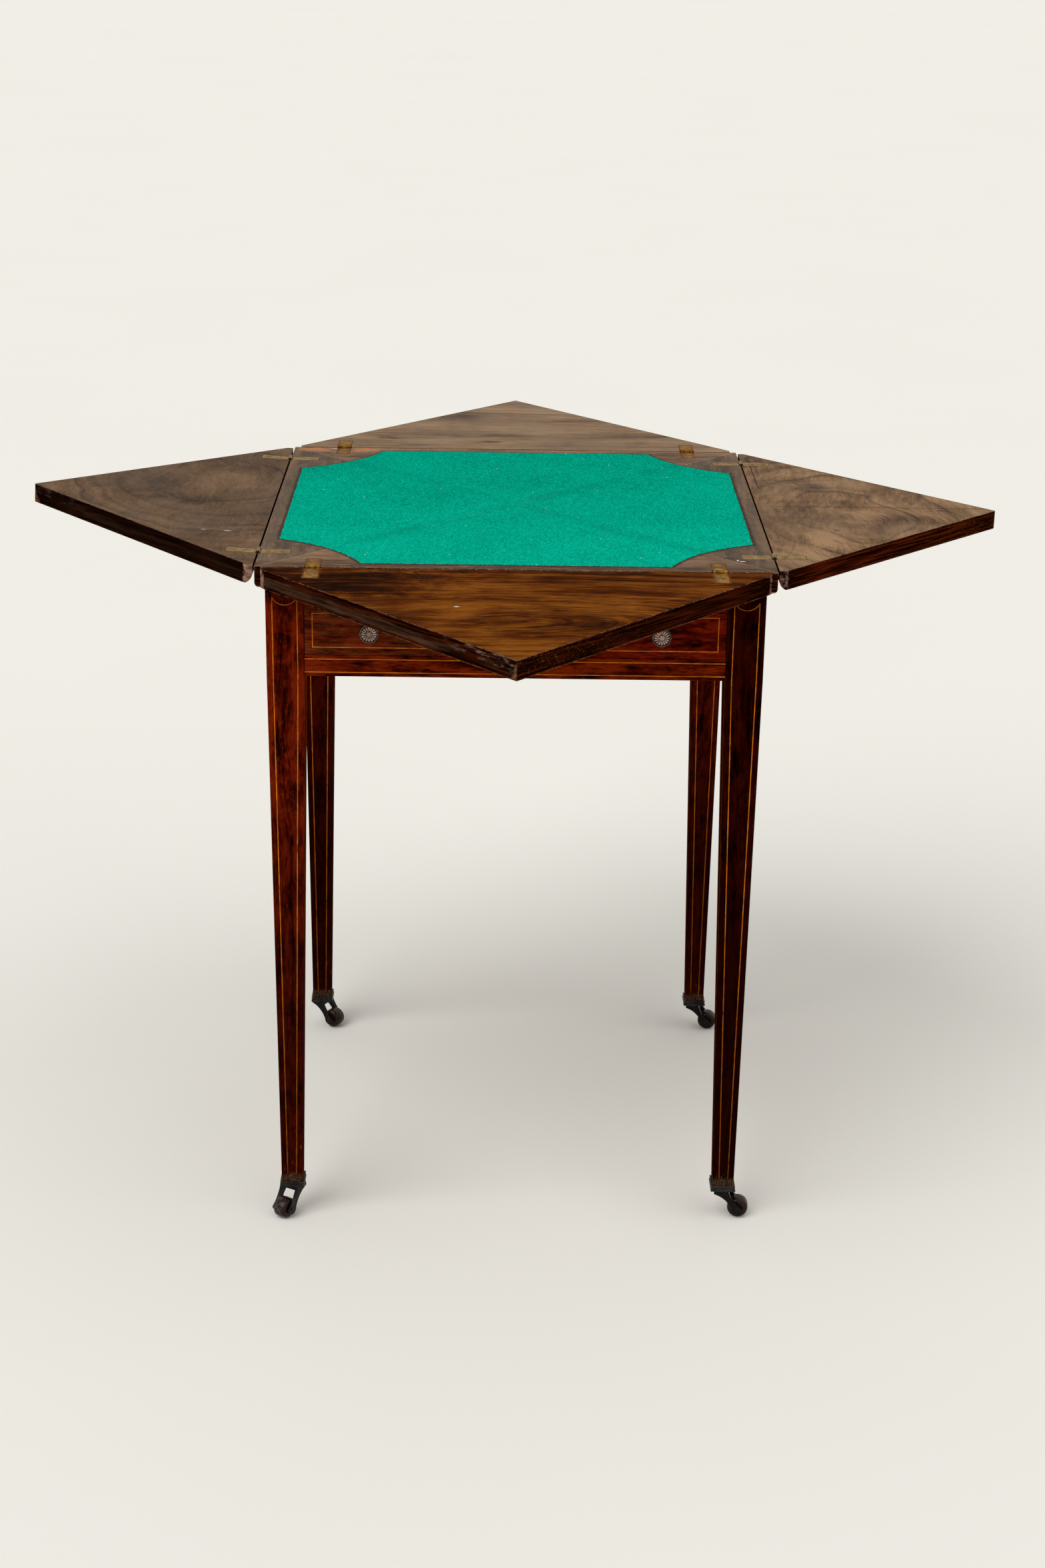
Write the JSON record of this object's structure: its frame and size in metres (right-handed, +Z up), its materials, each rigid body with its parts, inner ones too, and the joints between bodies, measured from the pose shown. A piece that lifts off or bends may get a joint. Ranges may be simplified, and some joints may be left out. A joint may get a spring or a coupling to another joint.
{
  "type": "games table",
  "caption": "Square games table with a turning baize top, triangular folding flaps, a frieze drawer and tapered legs on castors.",
  "frame": {"origin": "on the floor under the middle of the top", "axes": "+Z up, the drawer faces -Y, +X to the right seen from the drawer"},
  "size_m": [1.0629, 1.0621, 0.7686],
  "materials": {
    "leg_wood": "dark red-brown french polish",
    "rail_wood": "dark red-brown french polish",
    "drawer_front_wood": "dark red-brown french polish",
    "panel_wood": "worn satin polish",
    "front_flap_wood": "worn satin polish",
    "right_flap_wood": "worn satin polish",
    "back_flap_wood": "worn satin polish",
    "left_flap_wood": "worn satin polish",
    "boxwood": "polished flush with the wood",
    "carcass_wood": "bare planed wood",
    "drawer_lining_wood": "bare planed wood",
    "baize": "felted wool baize",
    "felt": "thin wool felt",
    "hinge_brass": "dull aged brass",
    "knob_brass": "antique pressed brass",
    "pivot_steel": "plain turned steel",
    "cup_metal": "dark with worn bright rims",
    "horn_metal": "black",
    "axle_metal": "dark riveted steel",
    "wheel_ceramic": "brown glaze with a worn tread"
  },
  "bodies": {
    "frame": {"front_left_leg": "leg_wood", "front_right_leg": "leg_wood", "rear_right_leg": "leg_wood", "rear_left_leg": "leg_wood", "leg_stringing": "boxwood", "left_rail": "rail_wood", "right_rail": "rail_wood", "back_rail": "rail_wood", "drawer_rail": "rail_wood", "top_front_rail": "rail_wood", "rail_stringing": "boxwood", "pivot_bearer": "carcass_wood", "left_drawer_runner": "carcass_wood", "right_drawer_runner": "carcass_wood", "top_glides": "felt", "front_left_castor_cup": "cup_metal", "front_right_castor_cup": "cup_metal", "rear_right_castor_cup": "cup_metal", "rear_left_castor_cup": "cup_metal"},
    "top": {"top_panel": "panel_wood", "baize": "baize", "pivot_stud": "pivot_steel", "pivot_washer": "pivot_steel", "pivot_nut": "pivot_steel", "hinge_pins": "hinge_brass", "panel_hinge_leaves_front": "hinge_brass", "panel_hinge_leaves_right": "hinge_brass", "panel_hinge_leaves_back": "hinge_brass", "panel_hinge_leaves_left": "hinge_brass"},
    "front_flap": {"front_flap": "front_flap_wood", "front_flap_hinge_leaves": "hinge_brass"},
    "right_flap": {"right_flap": "right_flap_wood", "right_flap_hinge_leaves": "hinge_brass"},
    "back_flap": {"back_flap": "back_flap_wood", "back_flap_hinge_leaves": "hinge_brass"},
    "left_flap": {"left_flap": "left_flap_wood", "left_flap_hinge_leaves": "hinge_brass"},
    "drawer": {"drawer_front": "drawer_front_wood", "drawer_left_side": "drawer_lining_wood", "drawer_right_side": "drawer_lining_wood", "drawer_back": "drawer_lining_wood", "drawer_bottom": "drawer_lining_wood", "drawer_stringing": "boxwood", "drawer_left_knob": "knob_brass", "drawer_right_knob": "knob_brass"},
    "front_left_castor": {"front_left_castor_horn": "horn_metal", "front_left_castor_axle": "axle_metal"},
    "front_left_wheel": {"front_left_castor_wheel": "wheel_ceramic"},
    "front_right_castor": {"front_right_castor_horn": "horn_metal", "front_right_castor_axle": "axle_metal"},
    "front_right_wheel": {"front_right_castor_wheel": "wheel_ceramic"},
    "rear_right_castor": {"rear_right_castor_horn": "horn_metal", "rear_right_castor_axle": "axle_metal"},
    "rear_right_wheel": {"rear_right_castor_wheel": "wheel_ceramic"},
    "rear_left_castor": {"rear_left_castor_horn": "horn_metal", "rear_left_castor_axle": "axle_metal"},
    "rear_left_wheel": {"rear_left_castor_wheel": "wheel_ceramic"}
  },
  "joints": [
    {"name": "top_swivel", "type": "hinge", "parent": "frame", "child": "top", "pos_m": [0, 0, 0.729], "axis": [0, 0, 1], "range_deg": [-45, 45]},
    {"name": "front_flap_hinge", "type": "hinge", "parent": "top", "child": "front_flap", "pos_m": [0, -0.266, 0.7524], "axis": [-1, 0, 0], "range_deg": [0, 182.4]},
    {"name": "right_flap_hinge", "type": "hinge", "parent": "top", "child": "right_flap", "pos_m": [0.266, 0, 0.7524], "axis": [0, -1, 0], "range_deg": [0, 180]},
    {"name": "back_flap_hinge", "type": "hinge", "parent": "top", "child": "back_flap", "pos_m": [0, 0.266, 0.7524], "axis": [1, 0, 0], "range_deg": [0, 179.3]},
    {"name": "left_flap_hinge", "type": "hinge", "parent": "top", "child": "left_flap", "pos_m": [-0.266, 0, 0.7524], "axis": [0, 1, 0], "range_deg": [0, 176.4]},
    {"name": "drawer_slide", "type": "slide", "parent": "frame", "child": "drawer", "axis": [0, -1, 0], "range_m": [0, 0.3]},
    {"name": "front_left_castor_swivel", "type": "hinge", "parent": "frame", "child": "front_left_castor", "pos_m": [-0.2396, -0.2396, 0.035], "axis": [0, 0, 1], "continuous": true},
    {"name": "front_left_wheel_spin", "type": "hinge", "parent": "front_left_castor", "child": "front_left_wheel", "pos_m": [-0.2486, -0.25519, 0.0117], "axis": [0.866, -0.5, 0], "continuous": true},
    {"name": "front_right_castor_swivel", "type": "hinge", "parent": "frame", "child": "front_right_castor", "pos_m": [0.2396, -0.2396, 0.035], "axis": [0, 0, 1], "continuous": true},
    {"name": "front_right_wheel_spin", "type": "hinge", "parent": "front_right_castor", "child": "front_right_wheel", "pos_m": [0.2575, -0.24148, 0.0117], "axis": [0.1045, 0.9945, 0], "continuous": true},
    {"name": "rear_right_castor_swivel", "type": "hinge", "parent": "frame", "child": "rear_right_castor", "pos_m": [0.2396, 0.2396, 0.035], "axis": [0, 0, 1], "continuous": true},
    {"name": "rear_right_wheel_spin", "type": "hinge", "parent": "rear_right_castor", "child": "rear_right_wheel", "pos_m": [0.25733, 0.23647, 0.0117], "axis": [0.1736, 0.9848, 0], "continuous": true},
    {"name": "rear_left_castor_swivel", "type": "hinge", "parent": "frame", "child": "rear_left_castor", "pos_m": [-0.2396, 0.2396, 0.035], "axis": [0, 0, 1], "continuous": true},
    {"name": "rear_left_wheel_spin", "type": "hinge", "parent": "rear_left_castor", "child": "rear_left_wheel", "pos_m": [-0.22434, 0.23006, 0.0117], "axis": [0.5299, 0.848, 0], "continuous": true}
  ]
}
